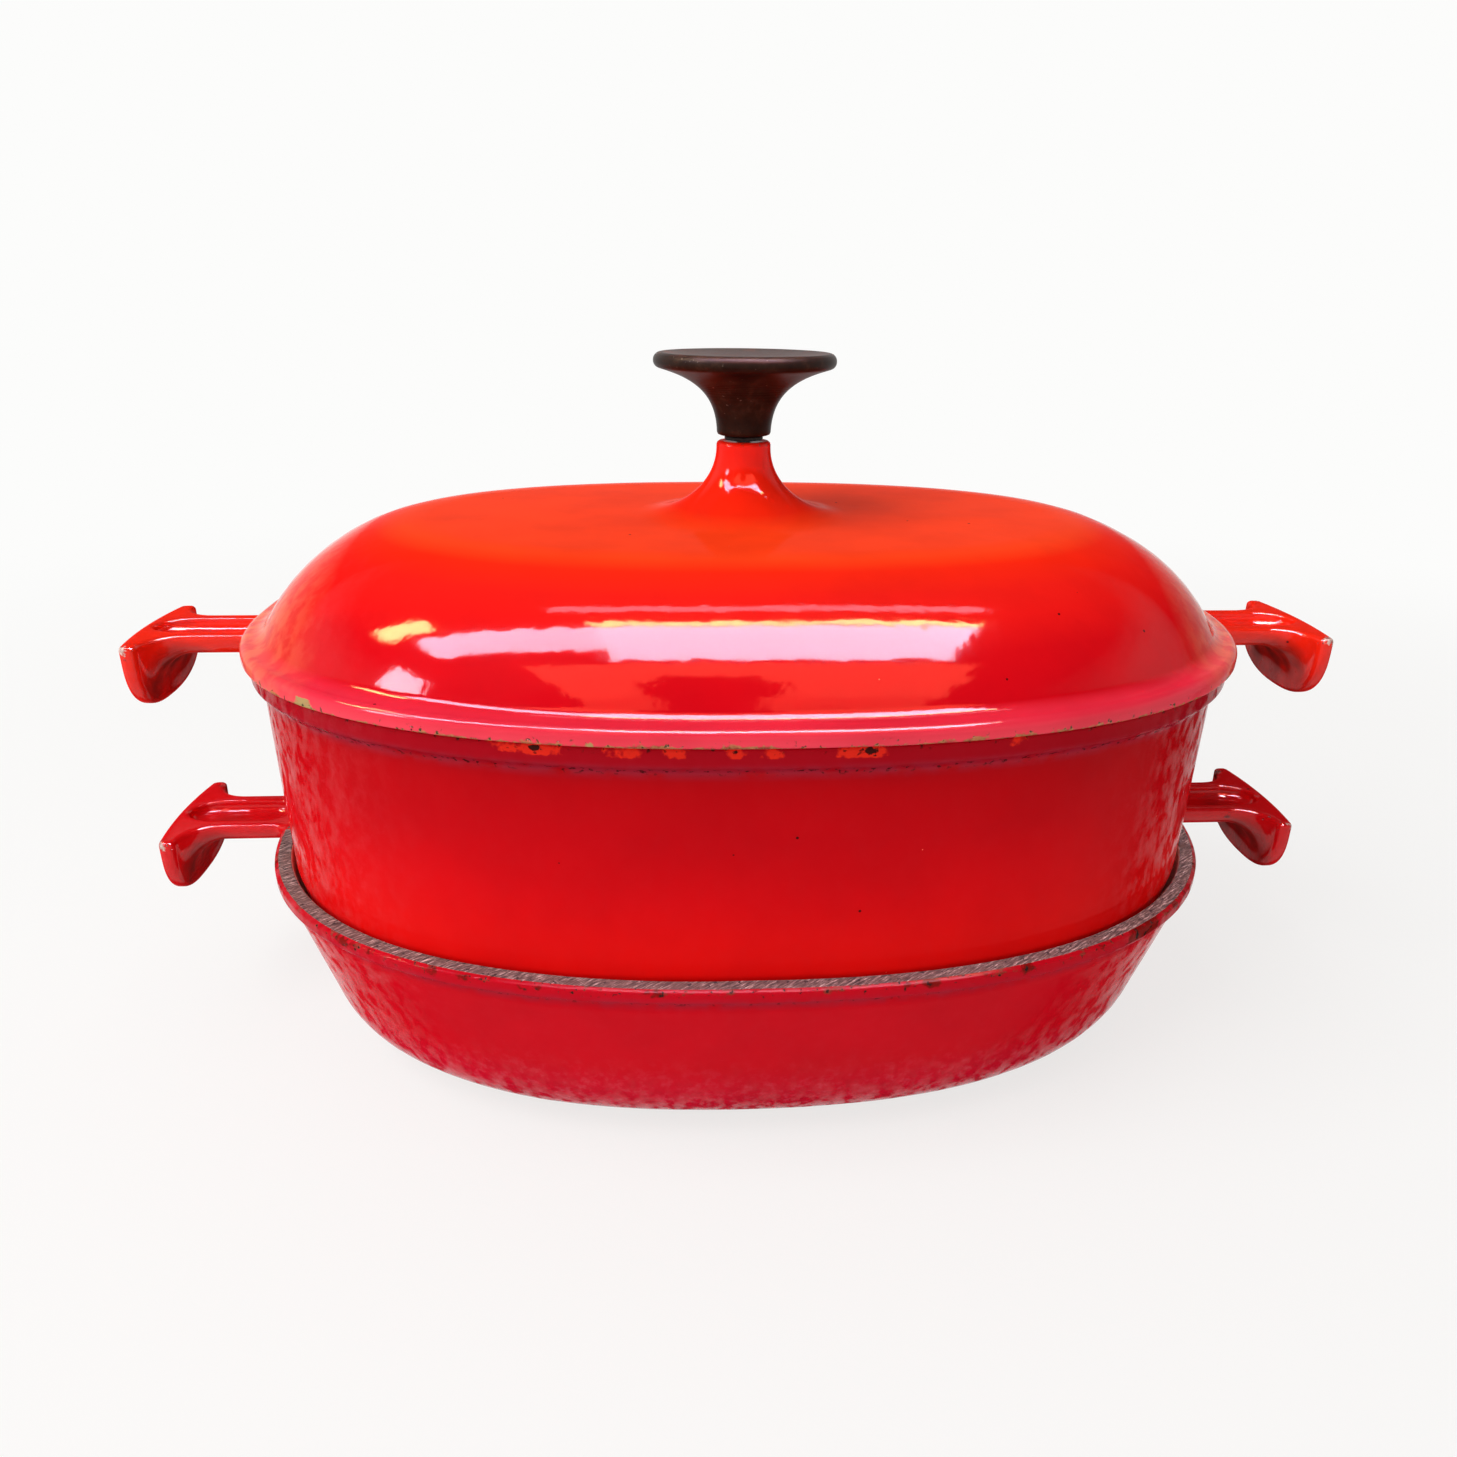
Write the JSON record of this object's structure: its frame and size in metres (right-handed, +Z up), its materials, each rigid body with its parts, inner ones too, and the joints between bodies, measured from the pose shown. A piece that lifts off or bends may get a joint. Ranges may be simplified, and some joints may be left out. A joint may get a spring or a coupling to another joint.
{
  "type": "dutch oven",
  "caption": "Oval enamelled cast-iron dutch oven: deep pot with fish-tail handles and a domed, knob-topped lid, nested in a shallow matching serving dish.",
  "frame": {"origin": "middle of the dish's flat base, on the surface it stands on", "axes": "+X along the long side, through the handles; +Y across, away from the front; +Z up, along the knob"},
  "size_m": [0.3994, 0.234, 0.2249],
  "materials": {
    "red_enamel": "cast iron under glossy red vitreous enamel",
    "phenolic": "satin moulded phenolic",
    "black_fibre": "pressed black fibre",
    "brass": "turned",
    "steel": "plain turned steel"
  },
  "bodies": {
    "dish": {"dish": "red_enamel"},
    "pot": {"pot": "red_enamel"},
    "lid": {"lid": "red_enamel", "spacer_washer": "black_fibre", "knob": "phenolic", "knob_insert": "brass", "knob_screw": "steel", "screw_washer": "steel"}
  },
  "joints": [
    {"name": "pot_lift", "type": "slide", "parent": "dish", "child": "pot", "axis": [0, 0, 1], "range_m": [0, 0.1]},
    {"name": "lid_lift", "type": "slide", "parent": "pot", "child": "lid", "axis": [0, 0, 1], "range_m": [0, 0.09]}
  ]
}
